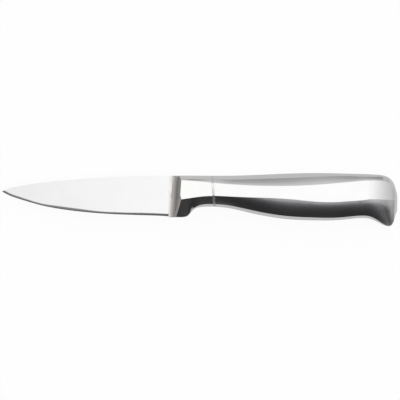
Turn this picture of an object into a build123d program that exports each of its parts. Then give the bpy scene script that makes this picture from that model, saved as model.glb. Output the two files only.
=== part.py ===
from build123d import *
import os
from math import cos, radians, sin, sqrt, tan

# All-steel paring knife lying on its side, in millimetres.
# X runs from the tip to the butt, Y from the cutting edge to the spine, Z is up.
# The flat of the handle lies on z = 0, and the blade's middle plane is half the handle's thickness up.

# Overall sizes
blade_length = 89.0
handle_length = 120.5
handle_thickness = 15.0
bolster_height = 22.0
crest_rise = 1.4
hook_drop = 4.8

# Blade
blade_height = 21.6
blade_thickness = 2.0
edge_thickness = 0.5
tip_thickness = 0.6
bevel_angle = 15.0
tang_top_gap = 3.8
tang_bottom_gap = 4.6
tang_corner = 1.5
tang_length = 44.0
tang_clearance = 0.1

# Bolster and neck
front_lean = 4.0
scoop_radius = 4.0
scoop_slope = 66.0
edge_facet_depth = 0.45
edge_facet_reach = 2.0
edge_facet_tilt = 42.0
edge_facet_turn = 14.0
seam_place = 22.6
seam_lean = 5.0
neck_weld_width = 1.0
weld_groove = 0.12
spigot_length = 9.0
spigot_clearance = 0.1
tang_weld_width = 1.4
tang_weld_depth = 1.5

# Hollow handle
shell_wall = 1.2
seam_weld_width = 0.8
butt_taper_length = 18.6
butt_cap_length = 0.15
strip_tilt = 47.0

# Balance weight on the tang
weight_length = 18.0
weight_wall = 1.2
weight_cheek = 2.2
weight_chamfer = 0.8

# Extra thickness that is cut away to leave true flats
flat_trim = 0.1

# One overrun for every cut
overrun = 1.0

# Places that follow from the sizes
total_length = blade_length + handle_length
total_height = crest_rise + bolster_height + hook_drop
heel_x = blade_length - total_length / 2
spine_y = total_height / 2 - crest_rise
middle_y = spine_y - bolster_height / 2
middle_z = handle_thickness / 2

# Outlines of the blade: distance from the heel as a share of blade_length,
# drop below the spine's heel as a share of blade_height
spine_shares = [(-0.02, 0), (0.18, 0.004), (0.42, 0.045), (0.6, 0.103), (0.78, 0.176), (0.9, 0.258)]
spine_shares += [(0.965, 0.318), (1, 0.383)]
edge_shares = [(1, 0.383), (0.952, 0.49), (0.893, 0.574), (0.774, 0.717), (0.655, 0.813), (0.536, 0.877)]
edge_shares += [(0.357, 0.937), (0.12, 0.972), (0, 1), (-0.02, 1.01)]

# Guide lines of the handle: distance from the heel as a share of handle_length,
# drop below the bolster's top as a share of bolster_height
top_shares = [(-0.05, 0), (0.1, 0), (0.29, -0.001), (0.45, -0.036), (0.64, -0.064), (0.8, -0.046)]
top_shares += [(0.9, -0.026), (0.941, 0.004), (0.96, 0.05), (0.978, 0.145), (0.994, 0.36), (1, 0.6)]

# The underside: finger guard, notch, belly, then the hook of the butt and its end.
# The neck is lowest where the notch is deepest.
neck_height_share = 0.745
guard_shares = [(-0.05, 1), (0.04, 1), (0.062, 0.996), (0.078, 0.968), (0.09, 0.9), (0.105, 0.81)]
notch_shares = [(0.125, 0.765), (0.16, neck_height_share), (0.2, 0.746), (0.27, 0.79), (0.345, 0.886)]
notch_shares += [(0.415, 0.966)]
belly_shares = [(0.49, 1.03), (0.56, 1.064), (0.64, 1.074), (0.74, 1.066), (0.815, 1.025), (0.85, 1.016)]
hook_shares = [(0.885, 1.045), (0.91, 1.105), (0.938, 1.185), (0.958, 1.217), (0.972, 1.198)]
butt_shares = [(0.983, 1.11), (0.994, 0.905), (1, 0.6)]
under_shares = guard_shares + notch_shares + belly_shares + hook_shares + butt_shares

# The tang fits the neck, and the weight's slot fits the tang
tang_height = bolster_height * neck_height_share - tang_top_gap - tang_bottom_gap
tang_y = spine_y - tang_top_gap - tang_height / 2
slot_height = tang_height + 2 * tang_clearance
slot_width = blade_thickness + 2 * tang_clearance
weight_height = slot_height + 2 * weight_wall
weight_thickness = slot_width + 2 * weight_cheek

# The creases where the upper and lower facets meet the side flats
upper_crease_shares = [(-0.05, 0.09), (0.053, 0.108), (0.13, 0.141), (0.2, 0.18), (0.27, 0.21)]
upper_crease_shares += [(0.345, 0.236), (0.45, 0.249), (0.555, 0.244), (0.66, 0.214), (0.765, 0.164)]
upper_crease_shares += [(0.836, 0.13), (0.9, 0.112), (0.945, 0.14), (0.975, 0.24), (0.994, 0.45), (1, 0.58)]
lower_crease_shares = [(-0.05, 0.6), (0.053, 0.565), (0.13, 0.506), (0.2, 0.485), (0.27, 0.502)]
lower_crease_shares += [(0.36, 0.522), (0.45, 0.536), (0.555, 0.577), (0.66, 0.629), (0.765, 0.619)]
lower_crease_shares += [(0.836, 0.588), (0.906, 0.583), (0.96, 0.6), (0.994, 0.63), (1, 0.62)]

# Where the handle's cross-sections stand, as shares of handle_length: close together
# at the guard, the notch and the butt, wider apart along the grip
front_section_shares = [-0.04, -0.025, -0.01, 0.005, 0.02, 0.035, 0.05, 0.0625, 0.075, 0.0875, 0.1, 0.1125]
neck_section_shares = [0.13, 0.155, 0.2, 0.26, 0.34]
grip_section_shares = [0.43, 0.53, 0.63, 0.73, 0.8, 0.845, 0.88, 0.91]
butt_section_shares = [0.935, 0.955, 0.972, 0.985, 0.994]
form_shares = front_section_shares + neck_section_shares + grip_section_shares + butt_section_shares
cavity_shares = neck_section_shares[1:] + grip_section_shares

# Facets in cross-section: place along the handle, tilt in degrees where the facet leaves the side flat,
# then the heights above the middle plane of the facet's outer edge and of the upright band behind it,
# as shares of the half thickness. A narrow strip at a fixed tilt lies between those two.
upper_facet_shares = [(0, 34, 0.89, 0.68), (0.16, 32, 0.85, 0.58), (0.28, 31, 0.72, 0.43)]
upper_facet_shares += [(0.42, 31, 0.59, 0.28), (0.57, 31, 0.57, 0.24), (0.77, 31, 0.65, 0.46)]
upper_facet_shares += [(0.86, 29, 0.78, 0.58), (0.93, 28, 0.76, 0.61), (1, 20, 0.76, 0.61)]
lower_facet_shares = [(0, 26, 0.4, 0.37), (0.06, 26, 0.4, 0.37), (0.09, 27, 0.46, 0.41)]
lower_facet_shares += [(0.105, 30, 0.5, 0.43), (0.125, 34, 0.54, 0.4), (0.16, 36, 0.57, 0.38)]
lower_facet_shares += [(0.27, 27, 0.54, 0.34), (0.345, 20, 0.5, 0.27), (0.415, 15, 0.47, 0.24)]
lower_facet_shares += [(0.5, 14, 0.46, 0.22), (0.75, 14, 0.47, 0.28), (0.85, 14, 0.5, 0.32)]
lower_facet_shares += [(0.9, 13, 0.43, 0.27), (0.95, 12, 0.29, 0.21), (1, 11, 0.28, 0.21)]

# How often a stretch of a guide is halved to find a place on it
halvings = 20


def handle_guide(shares, end_direction):
    """A line along the handle through points given as shares of its length and height."""
    points = [(heel_x + along * handle_length, spine_y - drop * bolster_height) for along, drop in shares]
    with BuildLine() as line:
        Spline(*points, tangents=[(1, 0), end_direction])
    return line.edge()


top_guide = handle_guide(top_shares, (0, -1))
under_guide = handle_guide(under_shares, (0, 1))
upper_crease_guide = handle_guide(upper_crease_shares, (0, -1))
lower_crease_guide = handle_guide(lower_crease_shares, (0, 1))


def height_on(guide, x):
    """The guide's height at x, found by halving the stretch that holds it."""
    low = 0.0
    high = 1.0
    for _ in range(halvings):
        middle = (low + high) / 2
        if guide.position_at(middle, position_mode=PositionMode.PARAMETER).X < x:
            low = middle
        else:
            high = middle
    return guide.position_at(low, position_mode=PositionMode.PARAMETER).Y


def facet_at(table, along):
    """Tilt, outer edge and band of a facet at a place along the handle, on curves through the rows."""
    last = len(table) - 1
    start = max(row for row in range(last) if row == 0 or table[row][0] <= along)
    before, low, high, after = [table[min(max(row, 0), last)] for row in range(start - 1, start + 3)]
    gap = high[0] - low[0]
    t = min(max((along - low[0]) / gap, 0), 1)
    values = []
    for a, b, c, d in zip(before[1:], low[1:], high[1:], after[1:]):
        leaving = (c - a) / (high[0] - before[0]) * gap
        arriving = (d - b) / (after[0] - low[0]) * gap
        bend = 3 * (c - b) - 2 * leaving - arriving
        twist = 2 * (b - c) + leaving + arriving
        values.append(b + leaving * t + bend * t**2 + twist * t**3)
    return values


def handle_section(along, inset, rounding=1):
    """The handle's cross-section at a place along it, drawn smaller all round by the inset.

    With rounding 1 the facets swell on curves that leave the side flat at their tilt; with 0 they are straight.
    """
    x = heel_x + along * handle_length
    top = height_on(top_guide, x) - inset
    bottom = height_on(under_guide, x) + inset
    into_butt = max(0, along * handle_length - (handle_length - butt_taper_length))
    narrowing = sqrt(1 - (into_butt / butt_taper_length) ** 2)
    flat = (middle_z + flat_trim) * narrowing - inset
    upper_tilt, upper_corner, upper_band = facet_at(upper_facet_shares, along)
    lower_tilt, lower_corner, lower_band = facet_at(lower_facet_shares, along)
    upper_slope = tan(radians(upper_tilt))
    lower_slope = tan(radians(lower_tilt))
    upper_crease = height_on(upper_crease_guide, x) - inset / 2 - flat_trim / upper_slope
    lower_crease = height_on(lower_crease_guide, x) + inset / 2 + flat_trim / lower_slope
    upper_edge = top - flat * (upper_corner - upper_band) / tan(radians(strip_tilt))
    lower_edge = bottom + flat * (lower_corner - lower_band) / tan(radians(strip_tilt))
    upper_run = (upper_edge - upper_crease) / 2
    lower_run = (lower_crease - lower_edge) / 2
    upper_drop = upper_run * upper_slope * rounding + flat * (1 - upper_corner) / 2 * (1 - rounding)
    lower_drop = lower_run * lower_slope * rounding + flat * (1 - lower_corner) / 2 * (1 - rounding)
    upper_middle = (upper_crease + upper_run, flat - upper_drop)
    lower_middle = (lower_crease - lower_run, flat - lower_drop)
    with BuildSketch(Plane((x, 0, middle_z), x_dir=(0, 1, 0), z_dir=(1, 0, 0))) as section:
        with BuildLine():
            Polyline((top, 0), (top, flat * upper_band), (upper_edge, flat * upper_corner))
            Bezier((upper_edge, flat * upper_corner), upper_middle, (upper_crease, flat))
            Line((upper_crease, flat), (lower_crease, flat))
            Bezier((lower_crease, flat), lower_middle, (lower_edge, flat * lower_corner))
            Polyline((lower_edge, flat * lower_corner), (bottom, flat * lower_band), (bottom, 0))
            mirror(about=Plane.XZ)
        make_face()
    return section.sketch


# Planes across the handle that the pieces share
across = Plane((heel_x, middle_y, middle_z), x_dir=(0, 0, 1), z_dir=(1, 0, 0))
front_plane = across.rotated((0, 0, -front_lean))
weld_front = across.offset(seam_place).rotated((0, 0, seam_lean))
weld_rear = weld_front.offset(neck_weld_width)
spigot_end = weld_rear.offset(spigot_length)
bottom_flat = Plane.XY
top_flat = Plane.XY.offset(handle_thickness)
near_side = Plane.XY.offset(middle_z - seam_weld_width / 2)
far_side = Plane.XY.offset(middle_z + seam_weld_width / 2)

# The whole outside of bolster, neck and handle, with its flats cut true
with BuildPart() as handle_form:
    for along in form_shares + [1 - butt_cap_length / handle_length]:
        add(handle_section(along, 0))
    loft()
    split(bisect_by=bottom_flat, keep=Keep.TOP)
    split(bisect_by=top_flat, keep=Keep.BOTTOM)

# The hollow inside the handle
with BuildPart() as cavity_form:
    for along in cavity_shares:
        add(handle_section(along, shell_wall, rounding=0))
    loft()

# The spigot of the neck, which fills the mouth of the hollow
with BuildPart() as spigot_form:
    for along in neck_section_shares:
        add(handle_section(along, shell_wall + spigot_clearance, rounding=0))
    loft()
    split(bisect_by=weld_front, keep=Keep.TOP)
    split(bisect_by=spigot_end, keep=Keep.BOTTOM)

# The line of the neck weld, a little below the surface
with BuildPart() as groove_form:
    for along in neck_section_shares:
        add(handle_section(along, weld_groove))
    loft()


# Blade: a flat-ground wedge with a bevelled cutting edge and a tang behind
def blade_points(shares):
    """Points of a blade outline from shares of its length and height."""
    return [(heel_x - along * blade_length, spine_y - drop * blade_height) for along, drop in shares]


spine_points = blade_points(spine_shares)
edge_points = blade_points(edge_shares)
half_blade = blade_thickness / 2
face_at_spine = Vector(heel_x, spine_y, half_blade)
face_at_edge = Vector(heel_x, spine_y - blade_height, edge_thickness / 2)
face_at_tip = Vector(*edge_points[0], tip_thickness / 2)
face_normal = (face_at_edge - face_at_spine).cross(face_at_tip - face_at_spine).normalized()
face_tilt = face_normal if face_normal.Z > 0 else face_normal * -1
upper_face = Plane((heel_x, spine_y, middle_z + half_blade), z_dir=(face_tilt.X, face_tilt.Y, face_tilt.Z))
lower_face = Plane((heel_x, spine_y, middle_z - half_blade), z_dir=(face_tilt.X, face_tilt.Y, -face_tilt.Z))
bevel_slope = (0, cos(radians(bevel_angle)), sin(radians(bevel_angle)))

# Two slanted prisms back to back, whose lower faces are the bevels of the cutting edge
with BuildPart() as bevel_form:
    with BuildSketch(Plane.XY.offset(middle_z)):
        with BuildLine():
            Spline(*edge_points)
            Polyline(
                edge_points[-1],
                (edge_points[-1][0], spine_y + overrun),
                (edge_points[0][0], spine_y + overrun),
                edge_points[0],
            )
        make_face()
    extrude(amount=blade_thickness / sin(radians(bevel_angle)), dir=bevel_slope)
    mirror(about=Plane.XY.offset(middle_z))

with BuildPart() as blade:
    with BuildSketch(Plane.XY.offset(middle_z)):
        with BuildLine():
            Spline(*spine_points)
            Spline(*edge_points)
            Line(edge_points[-1], spine_points[0])
        make_face()
    extrude(amount=blade_thickness, both=True)
    split(bisect_by=upper_face, keep=Keep.BOTTOM)
    split(bisect_by=lower_face, keep=Keep.BOTTOM)
    add(bevel_form.part, mode=Mode.INTERSECT)
    split(bisect_by=front_plane, keep=Keep.BOTTOM)
    with BuildSketch(Plane.XY.offset(middle_z)):
        with Locations((heel_x, tang_y)):
            Rectangle(tang_length, tang_height, align=(Align.MIN, Align.CENTER))
            Rectangle(overrun, tang_height, align=(Align.MAX, Align.CENTER))
    extrude(amount=half_blade, both=True)
    fillet(edges().filter_by(Axis.Z).group_by(Axis.X)[-1], radius=tang_corner)

# Where the tang crosses the end of the spigot, in that plane's own coordinates
weight_seat = tuple(spigot_end.to_local_coords(Vector(spigot_end.origin.X, tang_y, middle_z)))[:2]

# The scoop in front of the bolster: from the blade's face it rises on an arc, then on a straight slope
arc_run = scoop_radius * sin(radians(scoop_slope))
arc_rise = scoop_radius * (1 - cos(radians(scoop_slope)))
scoop_run = arc_run + (middle_z - half_blade - arc_rise) / tan(radians(scoop_slope))
scoop_mouth = scoop_run + overrun / tan(radians(scoop_slope))
scoop_plane = Plane((heel_x, middle_y, middle_z), x_dir=(1, 0, 0), z_dir=(0, -1, 0))

with BuildPart() as scoop_form:
    with BuildSketch(scoop_plane.rotated((0, 0, -front_lean))):
        with BuildLine():
            TangentArc((0, half_blade), (arc_run, half_blade + arc_rise), tangent=(1, 0))
            Polyline(
                (arc_run, half_blade + arc_rise),
                (scoop_mouth, middle_z + overrun),
                (-overrun, middle_z + overrun),
                (-overrun, half_blade),
                (0, half_blade),
            )
        make_face()
    extrude(amount=bolster_height, both=True)
    mirror(about=Plane.XY.offset(middle_z))

# A narrow facet that takes the sharp edge off between the scoop and the lower facet, on each side:
# it runs from the side flat's front corner down to the lowest corner of the guard
low_rise = lower_facet_shares[0][2] * middle_z - half_blade
low_run = sqrt(scoop_radius**2 - (scoop_radius - low_rise) ** 2)
low_x = heel_x + low_run - bolster_height / 2 * tan(radians(front_lean))
high_x = heel_x + scoop_run
high_y = height_on(lower_crease_guide, high_x)
edge_line = (low_x - high_x, spine_y - bolster_height - high_y, low_rise + half_blade - middle_z)
edge_tilt = radians(edge_facet_tilt)
edge_turn = radians(edge_facet_turn)
edge_normal = (-sin(edge_tilt) * cos(edge_turn), -sin(edge_tilt) * sin(edge_turn), cos(edge_tilt))
edge_plane = Plane((high_x, high_y, handle_thickness), x_dir=edge_line, z_dir=edge_normal)

with BuildPart() as edge_cut:
    with BuildSketch(edge_plane.offset(-edge_facet_depth)):
        Rectangle(2 * bolster_height, 2 * edge_facet_reach)
    extrude(amount=edge_facet_reach)
    mirror(about=Plane.XY.offset(middle_z))

# Bolster and neck in one forging: the front of the handle's form, scooped down to the blade
with BuildPart() as bolster:
    add(handle_form.part)
    split(bisect_by=front_plane, keep=Keep.TOP)
    split(bisect_by=weld_front, keep=Keep.BOTTOM)
    add(scoop_form.part, mode=Mode.SUBTRACT)
    add(edge_cut.part, mode=Mode.SUBTRACT)
    add(spigot_form.part)
    with BuildSketch(Plane.YZ.offset(heel_x - overrun)):
        with Locations((tang_y, middle_z)):
            Rectangle(slot_height, slot_width)
    extrude(amount=tang_length + 2 * overrun, mode=Mode.SUBTRACT)
    with BuildSketch(spigot_end):
        with Locations(weight_seat):
            Rectangle(blade_thickness + 2 * tang_weld_width, tang_height + 2 * tang_weld_width)
    extrude(amount=-tang_weld_depth, mode=Mode.SUBTRACT)

# Weld round the tang, filling the recess in the end of the spigot
with BuildPart() as tang_weld:
    with BuildSketch(spigot_end):
        with Locations(weight_seat):
            Rectangle(blade_thickness + 2 * tang_weld_width, tang_height + 2 * tang_weld_width)
    extrude(amount=-tang_weld_depth)
    with BuildSketch(Plane.YZ.offset(heel_x)):
        with Locations((tang_y, middle_z)):
            Rectangle(tang_height, blade_thickness)
    extrude(amount=tang_length, mode=Mode.SUBTRACT)

# Weld that closes the joint between neck and handle
with BuildPart() as neck_weld:
    add(groove_form.part)
    split(bisect_by=weld_front, keep=Keep.TOP)
    split(bisect_by=weld_rear, keep=Keep.BOTTOM)
    add(spigot_form.part, mode=Mode.SUBTRACT)

# The hollow handle behind the weld, before it is parted into its two pressed shells
with BuildPart() as handle_tube:
    add(handle_form.part)
    split(bisect_by=weld_rear, keep=Keep.TOP)
    add(cavity_form.part, mode=Mode.SUBTRACT)

with BuildPart() as handle_shell_left:
    add(handle_tube.part)
    split(bisect_by=far_side, keep=Keep.TOP)

with BuildPart() as handle_shell_right:
    add(handle_tube.part)
    split(bisect_by=near_side, keep=Keep.BOTTOM)

# Weld along the back and belly that joins the two shells
with BuildPart() as seam_weld:
    add(handle_tube.part)
    split(bisect_by=far_side, keep=Keep.BOTTOM)
    split(bisect_by=near_side, keep=Keep.TOP)

# Balance weight: a block threaded on the tang, against the end of the spigot
with BuildPart() as balance_weight:
    with BuildSketch(Plane.YZ.offset(spigot_end.origin.X - overrun)):
        with Locations((tang_y, middle_z)):
            Rectangle(weight_height, weight_thickness)
            Rectangle(slot_height, slot_width, mode=Mode.SUBTRACT)
    extrude(amount=weight_length + overrun)
    chamfer(faces().sort_by(Axis.X)[-1].outer_wire().edges(), length=weight_chamfer)
    split(bisect_by=spigot_end, keep=Keep.TOP)

pieces = {
    "blade": blade,
    "bolster": bolster,
    "tang_weld": tang_weld,
    "neck_weld": neck_weld,
    "handle_shell_left": handle_shell_left,
    "handle_shell_right": handle_shell_right,
    "seam_weld": seam_weld,
    "balance_weight": balance_weight,
}

os.makedirs("parts", exist_ok=True)
for name, piece in pieces.items():
    piece.part.label = name
    export_step(piece.part, f"parts/{name}.step")
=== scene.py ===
import bpy
from math import radians, tan
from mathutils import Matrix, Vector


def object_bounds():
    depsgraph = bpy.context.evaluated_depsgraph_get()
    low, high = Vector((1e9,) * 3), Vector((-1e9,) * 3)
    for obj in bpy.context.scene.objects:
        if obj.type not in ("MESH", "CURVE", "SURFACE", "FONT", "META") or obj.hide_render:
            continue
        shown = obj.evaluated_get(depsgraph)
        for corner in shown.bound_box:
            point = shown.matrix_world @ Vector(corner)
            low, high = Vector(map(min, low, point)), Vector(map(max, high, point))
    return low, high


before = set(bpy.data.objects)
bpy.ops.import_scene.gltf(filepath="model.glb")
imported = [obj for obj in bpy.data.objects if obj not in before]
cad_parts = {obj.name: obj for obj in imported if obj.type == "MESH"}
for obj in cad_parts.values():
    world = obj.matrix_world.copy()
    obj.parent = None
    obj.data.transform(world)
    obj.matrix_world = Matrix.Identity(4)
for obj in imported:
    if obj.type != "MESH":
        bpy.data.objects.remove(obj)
cad_low, cad_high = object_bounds()

# Camera: a long lens straight above the knife, with the tip on the left and the spine at the top
frame_width = 0.212
lens = 135.0
sensor = 36.0
aim_x = 0.00019
aim_y = -0.00014
aim_z = (cad_low.z + cad_high.z) / 2

# Floor: pale, and near white where the camera or a polished face looks at it
floor_size = 6.0
floor_color = (0.9, 0.9, 0.9)
floor_glow_share = 0.93

# Studio light. The tables give places in degrees from overhead, negative for the front or the left,
# each with the level of the light there.
box_strength = 1.865
sky_reach = 1.25
least_height = 0.2

# A large soft box overhead, with a dark screen in front of it and a dimmer room behind
front_back = [(-100, 0.5), (-88, 0.45), (-82, 0.12), (-77, 0.034), (-60, 0.026), (-50, 0.038)]
front_back += [(-45, 0.056), (-41, 0.09), (-38, 0.14), (-33, 0.33), (-30, 0.45), (-27, 1.0)]
front_back += [(22, 1.0), (46, 0.84), (64, 0.64), (72, 0.46), (78, 0.36), (86, 0.31), (100, 0.28)]
left_right = [(-95, 0.2), (-82, 0.25), (-57, 0.37), (-27, 0.5), (-12, 0.74), (-8, 0.86)]
left_right += [(-5, 0.93), (-1, 1.0), (9, 1.0), (18, 0.93), (30, 0.75), (38, 0.67), (48, 0.59)]
left_right += [(63, 0.53), (81, 0.41)]

# How much of the dark screen is there, from left to right
screen_width = [(-58, 0.25), (-42, 1.0), (45, 1.0), (55, 0.25)]

# A dark card at the front right takes a share of the light away: the product of these two
card_reach = [(-54, 0.0), (-46, 0.5), (-41, 0.9), (-34, 0.97), (-31, 0.88), (-29, 0.7)]
card_reach += [(-26, 0.35), (-22, 0.05), (-18, 0.0)]
card_width = [(20, 0.0), (26, 0.35), (32, 0.6), (38, 0.85), (42, 1.0)]

# The left of the room is a little warm, and its dark front a little blue
white = (1.0, 1.0, 1.0)
warmth = [(-60, (1.0, 0.95, 0.9)), (-15, white)]
coolness = [(-58, (0.985, 0.975, 1.0)), (-48, (0.96, 0.935, 1.0)), (-40, (0.96, 0.935, 1.0))]
coolness += [(-26, white)]

# Colours of the metals, linear
blade_color = (0.54, 0.54, 0.54)
bolster_color = (0.54, 0.538, 0.533)
handle_color = (0.532, 0.528, 0.528)
weld_color = (0.47, 0.46, 0.45)
seam_color = (0.51, 0.505, 0.50)
iron_color = (0.20, 0.20, 0.21)

# What all the metals share: faint smudges, and how far grain and smudges change the finish
grain_detail = 6.0
smudge_scale = (70, 110, 110)
smudge_detail = 3.0
mean_share = 0.5
tone_low = 0.3
tone_high = 0.7
color_change = 0.04
roughness_change = 0.15
relief_height = 0.00002

# Edges that handling has worn bright: how alike the true and the rounded normal are there
edge_samples = 6
edge_unworn = 0.995
edge_worn = 0.93
edge_gain = 1.15

# Sparse scratches: the peaks of a fine noise
scratch_detail = 1.0
scratch_low = 0.72
scratch_high = 0.78
scratch_roughness = 0.12
scratch_depth = 0.6

# The honed band, on the faces of the cutting edge that lean towards the front: a honed roughness,
# and a dark colour there that is painted shade. The painted shade is paler at the tip.
hone_painted_shade = (0.13, 0.13, 0.135)
hone_roughness = 0.22
hone_and_painted_shade_samples = 16
hone_and_painted_shade_reach = 0.0009
hone_and_painted_shade_lean_low = 0.072
hone_and_painted_shade_lean_high = 0.084
painted_shade_tip_gain = 1.9
tip_x = -0.1
past_tip_x = -0.075

# The tang's sides lean to the front too, but aren't honed or painted with shade: the band stops
# before this corner
tang_x_low = -0.020
tang_x_high = -0.019
tang_y_low = -0.005
tang_y_high = -0.004

# Painted shade: next to the bolster the blade is painted as dark as the scoop's shading, and
# lighter towards the spine
collar_painted_shade = (0.34, 0.34, 0.34)
collar_painted_shade_at_spine = (0.45, 0.45, 0.445)
collar_x_low = -0.0166
collar_x_high = -0.0148
collar_y_low = 0.003
collar_y_high = 0.005

# The neck's weld is polished away towards the spine
fade_y_low = 0.0042
fade_y_high = 0.0072
fade_roughness = 0.2


class Nodes:
    """A small helper that adds nodes to a tree and links them."""

    def __init__(self, tree):
        self.tree = tree
        tree.nodes.clear()

    def add(self, kind, **settings):
        node = self.tree.nodes.new(kind)
        for name, value in settings.items():
            setattr(node, name, value)
        return node

    def link(self, source, target):
        self.tree.links.new(source, target)

    def math(self, operation, first, second, clamp=False):
        """Works with two numbers, each a socket or a constant."""
        node = self.add("ShaderNodeMath", operation=operation, use_clamp=clamp)
        for socket, value in zip(node.inputs, (first, second)):
            if isinstance(value, (int, float)):
                socket.default_value = value
            else:
                self.link(value, socket)
        return node.outputs[0]

    def product(self, first, second):
        """Multiplies two colours."""
        node = self.add("ShaderNodeVectorMath", operation="MULTIPLY")
        self.link(first, node.inputs[0])
        self.link(second, node.inputs[1])
        return node.outputs[0]

    def ramp(self, value, stops):
        """A colour ramp through places from 0 to 1, each with a level or a colour."""
        node = self.add("ShaderNodeValToRGB")
        elements = node.color_ramp.elements
        while len(elements) < len(stops):
            elements.new(1.0)
        for element, (place, level) in zip(elements, stops):
            color = level if isinstance(level, tuple) else (level, level, level)
            element.position = place
            element.color = (*color, 1)
        self.link(value, node.inputs[0])
        return node.outputs[0]

    def separate(self, vector):
        node = self.add("ShaderNodeSeparateXYZ")
        self.link(vector, node.inputs[0])
        return node.outputs

    def noise(self, place, scale, detail):
        """Noise over the object, finer along the axes with the larger scale."""
        stretch = self.add("ShaderNodeMapping")
        stretch.inputs["Scale"].default_value = scale
        self.link(place, stretch.inputs[0])
        node = self.add("ShaderNodeTexNoise")
        node.inputs["Scale"].default_value = 1.0
        node.inputs["Detail"].default_value = detail
        self.link(stretch.outputs[0], node.inputs["Vector"])
        return node.outputs[0]

    def rounding(self, radius, samples):
        """The normal as if every edge were rounded by the radius."""
        node = self.add("ShaderNodeBevel", samples=samples)
        node.inputs["Radius"].default_value = radius
        return node.outputs[0]

    def spread(self, value, low, high, to_low=0.0, to_high=1.0):
        """Maps low..high to to_low..to_high and stops at both ends."""
        node = self.add("ShaderNodeMapRange")
        numbers = {"From Min": low, "From Max": high, "To Min": to_low, "To Max": to_high}
        for socket, number in numbers.items():
            node.inputs[socket].default_value = number
        self.link(value, node.inputs["Value"])
        return node.outputs[0]

    def rest_of(self, share):
        """What a share leaves of 1."""
        return self.math("SUBTRACT", 1.0, share)

    def blend(self, share, first, second):
        """Mixes two colours, each a socket or a triple."""
        node = self.add("ShaderNodeMix", data_type="RGBA")
        self.link(share, node.inputs["Factor"])
        first_color, second_color = [socket for socket in node.inputs if socket.type == "RGBA"]
        for socket, value in ((first_color, first), (second_color, second)):
            if isinstance(value, tuple):
                socket.default_value = (*value, 1)
            else:
                self.link(value, socket)
        return next(socket for socket in node.outputs if socket.type == "RGBA")

    def between(self, share, first, second):
        """Mixes two numbers, the first a socket and the second a constant."""
        kept = self.math("MULTIPLY", first, self.rest_of(share))
        return self.math("ADD", kept, self.math("MULTIPLY", share, second))


def scaled(color, gain):
    return tuple(part * gain for part in color)


def sky_place(degrees):
    """Place on a ramp of a direction so many degrees from overhead."""
    return 0.5 + tan(radians(degrees) / 2) / (2 * sky_reach)


def make_world():
    """The studio, spread flat about the point overhead, so that each ramp runs along X or Y."""
    world = bpy.data.worlds.new("studio")
    bpy.context.scene.world = world
    world.use_nodes = True
    n = Nodes(world.node_tree)
    place = n.add("ShaderNodeTexCoord")
    direction = n.separate(place.outputs["Generated"])
    height = n.math("MAXIMUM", n.math("ADD", direction["Z"], 1.0), least_height)

    def flattened(part):
        outward = n.math("DIVIDE", part, height)
        return n.math("ADD", n.math("MULTIPLY", outward, 1 / (2 * sky_reach)), 0.5, clamp=True)

    def by_angle(value, stops):
        return n.ramp(value, [(sky_place(angle), level) for angle, level in stops])

    across = flattened(direction["X"])
    along = flattened(direction["Y"])
    dark_front = n.math(
        "MULTIPLY", n.rest_of(by_angle(along, front_back)), by_angle(across, screen_width)
    )
    card = n.math("MULTIPLY", by_angle(along, card_reach), by_angle(across, card_width))
    level = n.math("MULTIPLY", n.rest_of(dark_front), by_angle(across, left_right))
    level = n.math("MULTIPLY", level, n.rest_of(card))
    color = n.product(n.product(level, by_angle(across, warmth)), by_angle(along, coolness))
    back = n.add("ShaderNodeBackground")
    back.inputs["Strength"].default_value = box_strength
    n.link(color, back.inputs["Color"])
    out = n.add("ShaderNodeOutputWorld")
    n.link(back.outputs[0], out.inputs[0])


def make_camera():
    data = bpy.data.cameras.new("camera")
    data.lens = lens
    data.sensor_width = sensor
    camera = bpy.data.objects.new("camera", data)
    camera.location = (aim_x, aim_y, aim_z + frame_width * lens / sensor)
    bpy.context.scene.collection.objects.link(camera)
    bpy.context.scene.camera = camera


def make_floor():
    bpy.ops.mesh.primitive_plane_add(size=floor_size)
    floor = bpy.context.object
    floor.name = "floor"
    material = bpy.data.materials.new("floor")
    material.use_nodes = True
    n = Nodes(material.node_tree)
    path = n.add("ShaderNodeLightPath")
    seen = n.math(
        "ADD", path.outputs["Is Camera Ray"], path.outputs["Is Glossy Ray"], clamp=True
    )
    seen = n.math("ADD", seen, path.outputs["Is Transmission Ray"], clamp=True)
    diffuse = n.add("ShaderNodeBsdfDiffuse")
    diffuse.inputs["Color"].default_value = (*floor_color, 1)
    glow = n.add("ShaderNodeEmission")
    mix = n.add("ShaderNodeMixShader")
    n.link(n.math("MULTIPLY", seen, floor_glow_share), mix.inputs[0])
    n.link(diffuse.outputs[0], mix.inputs[1])
    n.link(glow.outputs[0], mix.inputs[2])
    out = n.add("ShaderNodeOutputMaterial")
    n.link(mix.outputs[0], out.inputs[0])
    floor.data.materials.append(material)


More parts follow.
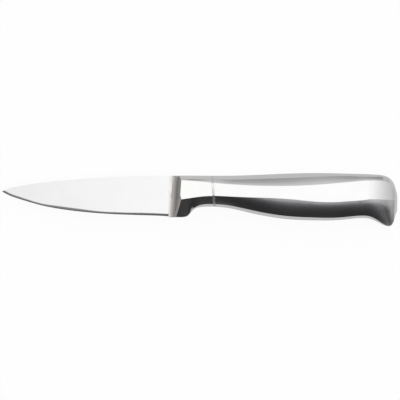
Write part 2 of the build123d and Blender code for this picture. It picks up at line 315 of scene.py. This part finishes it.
def hone_and_paint_shade_on_blade(n, place, shade, rough):
    """Paints shade on the faces of the cutting edge that lean to the front, which also get a honed
    roughness, and paints shade on the blade beside the bolster.
    """
    spot = n.separate(place)
    around = n.separate(n.rounding(hone_and_painted_shade_reach, hone_and_painted_shade_samples))
    lean = n.math("MULTIPLY", around["Y"], -1.0)
    tang_side = n.math(
        "MULTIPLY",
        n.spread(spot["X"], tang_x_low, tang_x_high),
        n.spread(spot["Y"], tang_y_low, tang_y_high),
    )
    honed_and_painted_shade = n.math(
        "MULTIPLY", n.spread(lean, hone_and_painted_shade_lean_low, hone_and_painted_shade_lean_high), n.rest_of(tang_side)
    )
    # Painted shade: the blade beside the bolster is darkened to match the scoop, lighter towards
    # the spine
    painted_collar_shade = n.blend(n.spread(spot["Y"], collar_y_low, collar_y_high), collar_painted_shade, collar_painted_shade_at_spine)
    shade = n.blend(n.spread(spot["X"], collar_x_low, collar_x_high), shade, painted_collar_shade)
    from_tip = n.spread(spot["X"], tip_x, past_tip_x)
    # Painted shade: the front-leaning faces of the cutting edge get a dark colour, paler at the tip
    painted_shade_band = n.blend(from_tip, scaled(hone_painted_shade, painted_shade_tip_gain), hone_painted_shade)
    return n.blend(honed_and_painted_shade, shade, painted_shade_band), n.between(honed_and_painted_shade, rough, hone_roughness)


def fade_weld(n, place, shade, rough):
    """Turns the weld's finish into the handle's towards the spine."""
    polished = n.spread(n.separate(place)["Y"], fade_y_low, fade_y_high)
    shade = n.blend(polished, shade, handle_color)
    return shade, n.between(polished, rough, fade_roughness)


def metal(name, color, roughness, grain_scale, bump, edge_radius=None, scratch_scale=None,
          dress=None):
    """Ground metal with a directional grain and faint smudges.

    edge_radius softens the edges and wears them bright, scratch_scale adds sparse scratches,
    and dress is a function that changes colour and roughness from place to place.
    """
    material = bpy.data.materials.new(name)
    material.use_nodes = True
    n = Nodes(material.node_tree)
    place = n.add("ShaderNodeTexCoord").outputs["Object"]
    grain = n.noise(place, grain_scale, grain_detail)
    smudge = n.noise(place, smudge_scale, smudge_detail)
    tone = n.math(
        "ADD", n.math("MULTIPLY", grain, mean_share), n.math("MULTIPLY", smudge, mean_share)
    )
    shade = n.blend(
        n.spread(tone, tone_low, tone_high),
        scaled(color, 1 - color_change),
        scaled(color, 1 + color_change),
    )
    rough = n.spread(
        tone,
        tone_low,
        tone_high,
        roughness * (1 - roughness_change),
        roughness * (1 + roughness_change),
    )
    relief = n.add("ShaderNodeBump")
    relief.inputs["Strength"].default_value = bump
    relief.inputs["Distance"].default_value = relief_height
    if edge_radius:
        rounded = n.rounding(edge_radius, edge_samples)
        shape = n.add("ShaderNodeNewGeometry")
        alike = n.add("ShaderNodeVectorMath", operation="DOT_PRODUCT")
        n.link(rounded, alike.inputs[0])
        n.link(shape.outputs["Normal"], alike.inputs[1])
        worn = n.spread(alike.outputs["Value"], edge_unworn, edge_worn)
        shade = n.blend(worn, shade, scaled(color, edge_gain))
        n.link(rounded, relief.inputs["Normal"])
    height = grain
    if scratch_scale:
        scratches = n.noise(place, scratch_scale, scratch_detail)
        scratch = n.spread(scratches, scratch_low, scratch_high)
        rough = n.math("ADD", rough, n.math("MULTIPLY", scratch, scratch_roughness))
        height = n.math("SUBTRACT", grain, n.math("MULTIPLY", scratch, scratch_depth))
    if dress:
        shade, rough = dress(n, place, shade, rough)
    n.link(height, relief.inputs["Height"])
    shader = n.add("ShaderNodeBsdfPrincipled")
    shader.inputs["Metallic"].default_value = 1.0
    n.link(shade, shader.inputs["Base Color"])
    n.link(rough, shader.inputs["Roughness"])
    n.link(relief.outputs[0], shader.inputs["Normal"])
    out = n.add("ShaderNodeOutputMaterial")
    n.link(shader.outputs[0], out.inputs[0])
    return material


# The blade's grain runs from spine to edge, and the grain of bolster and handle along the knife
blade_steel = metal(
    "blade_steel",
    blade_color,
    roughness=0.22,
    grain_scale=(5000, 300, 5000),
    bump=0.1,
    scratch_scale=(2600, 60, 2600),
    dress=hone_and_paint_shade_on_blade,
)
bolster_steel = metal(
    "bolster_steel",
    bolster_color,
    roughness=0.16,
    grain_scale=(300, 4000, 4000),
    bump=0.1,
    edge_radius=0.0002,
    scratch_scale=(80, 2200, 2200),
)
handle_steel = metal(
    "handle_steel",
    handle_color,
    roughness=0.16,
    grain_scale=(300, 4000, 4000),
    bump=0.1,
    edge_radius=0.0002,
    scratch_scale=(60, 2000, 2000),
)
weld_steel = metal(
    "weld_steel",
    weld_color,
    roughness=0.4,
    grain_scale=(2500, 1200, 2500),
    bump=0.4,
    edge_radius=0.0003,
    dress=fade_weld,
)
seam_steel = metal(
    "seam_steel",
    seam_color,
    roughness=0.24,
    grain_scale=(1500, 4000, 4000),
    bump=0.2,
    edge_radius=0.0002,
)
iron = metal(
    "iron",
    iron_color,
    roughness=0.6,
    grain_scale=(1500, 1500, 1500),
    bump=0.8,
    edge_radius=0.0002,
)

finishes = {
    "blade": blade_steel,
    "bolster": bolster_steel,
    "tang_weld": weld_steel,
    "neck_weld": weld_steel,
    "handle_shell_left": handle_steel,
    "handle_shell_right": handle_steel,
    "seam_weld": seam_steel,
    "balance_weight": iron,
}
for name, material in finishes.items():
    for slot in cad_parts[name].material_slots:
        slot.material = material

make_world()
make_camera()
make_floor()
bpy.context.scene.view_settings.view_transform = "Standard"
